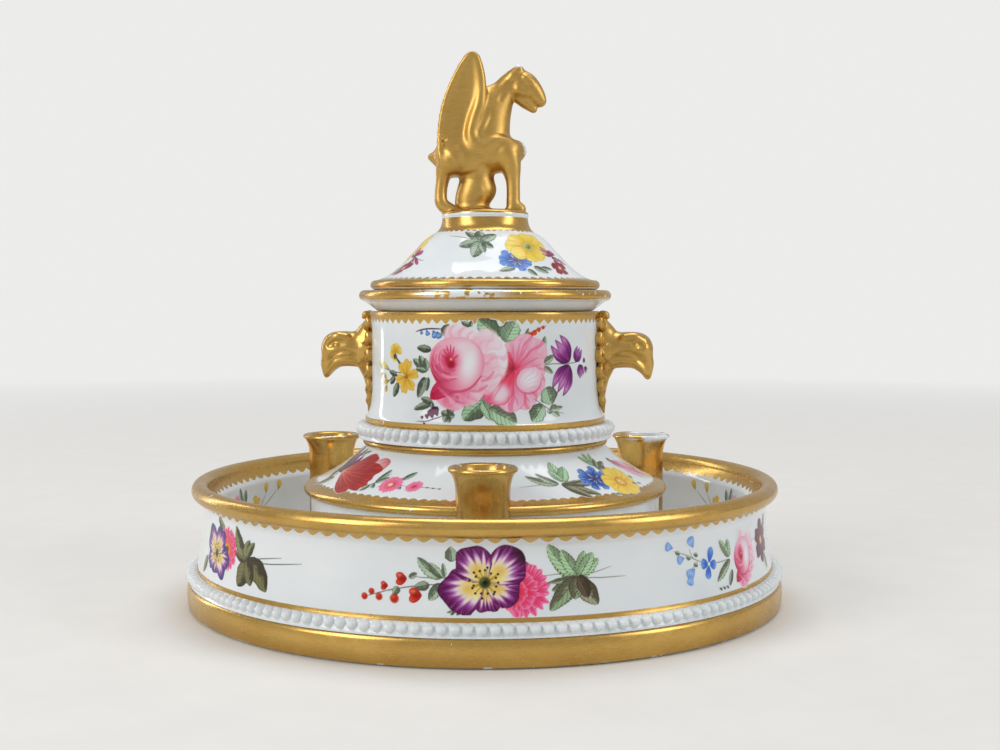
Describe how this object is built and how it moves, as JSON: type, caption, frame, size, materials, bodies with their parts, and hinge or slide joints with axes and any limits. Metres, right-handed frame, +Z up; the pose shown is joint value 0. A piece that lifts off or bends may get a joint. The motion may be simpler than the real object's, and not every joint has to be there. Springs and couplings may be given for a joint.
{
  "type": "desk inkstand",
  "caption": "Round porcelain desk inkstand: tray with a lift-out ink pot in a covered drum, quill holders, eagle-head handles and a winged finial.",
  "frame": {"origin": "centre of the foot ring on the table", "axes": "+Z up, the front of the inkstand towards -Y, the winged beast facing +X"},
  "size_m": [0.1516, 0.1516, 0.1384],
  "materials": {
    "gilding": "burnished gilding over glazed porcelain",
    "painted_glaze": "glossy white glaze with painted flowers",
    "white_glaze": "glossy white glaze"
  },
  "bodies": {
    "stand": {"foot_ring": "gilding", "tray": "painted_glaze", "tray_beading": "white_glaze", "riser": "white_glaze", "shoulder": "painted_glaze", "quill_holder_front": "gilding", "quill_holder_right": "gilding", "quill_holder_left": "gilding", "drum": "painted_glaze", "drum_beading": "white_glaze", "right_leaf_mount": "gilding", "left_leaf_mount": "gilding", "right_eagle_handle": "gilding", "left_eagle_handle": "gilding"},
    "pot": {"ink_pot": "white_glaze", "dip_plate": "white_glaze"},
    "cover": {"cover_dome": "painted_glaze", "finial_plinth": "gilding", "beast_body": "gilding", "beast_neck_and_head": "gilding", "beast_near_wing": "gilding", "beast_far_wing": "gilding", "beast_near_foreleg": "gilding", "beast_far_foreleg": "gilding", "beast_near_hind_leg": "gilding", "beast_far_hind_leg": "gilding", "beast_support": "gilding"}
  },
  "joints": [
    {"name": "ink_pot_lift", "type": "slide", "parent": "stand", "child": "pot", "axis": [0, 0, 1], "range_m": [0, 0.06]},
    {"name": "cover_lift", "type": "slide", "parent": "pot", "child": "cover", "axis": [0, 0, 1], "range_m": [0, 0.05]}
  ]
}
